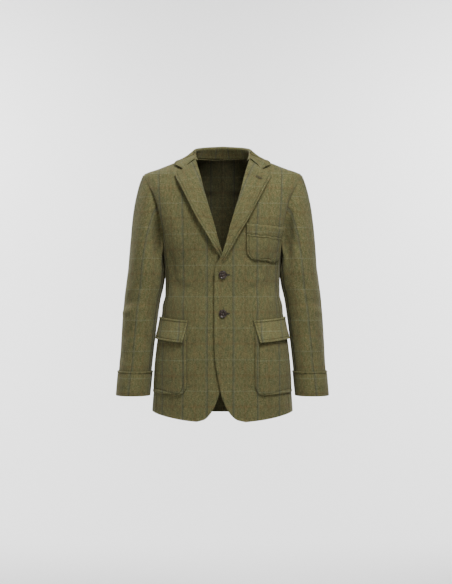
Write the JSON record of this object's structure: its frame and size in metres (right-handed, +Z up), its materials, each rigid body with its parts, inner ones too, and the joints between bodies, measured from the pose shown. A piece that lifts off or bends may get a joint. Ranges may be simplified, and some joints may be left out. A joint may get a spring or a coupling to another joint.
{
  "type": "tweed jacket",
  "caption": "Single-breasted tweed jacket with notched lapels, patch pockets with flaps and turn-back cuffs, hollow and upright as worn.",
  "frame": {"origin": "between the shoulders, at the height where the collar is sewn to the body, where the wearer's shoulders carry the jacket", "axes": "+Z up, +Y to the jacket's back, +X to the wearer's left"},
  "size_m": [0.5938, 0.2565, 0.7673],
  "materials": {
    "tweed": "matte",
    "tweed_trim": "matte",
    "button_horn": "satin"
  },
  "bodies": {
    "root": {"front_left": "tweed", "front_right": "tweed", "side_left": "tweed", "side_right": "tweed", "back_left": "tweed", "back_right": "tweed", "top_sleeve_left": "tweed", "top_sleeve_right": "tweed", "under_sleeve_left": "tweed", "under_sleeve_right": "tweed", "cuff_left": "tweed_trim", "cuff_right": "tweed_trim", "collar": "tweed", "lapel_left": "tweed", "lapel_right": "tweed", "pocket_left": "tweed_trim", "pocket_right": "tweed_trim", "flap_left": "tweed_trim", "flap_right": "tweed_trim", "pocket_chest": "tweed_trim", "chest_band": "tweed_trim", "button_upper": "button_horn", "button_lower": "button_horn"}
  },
  "joints": []
}
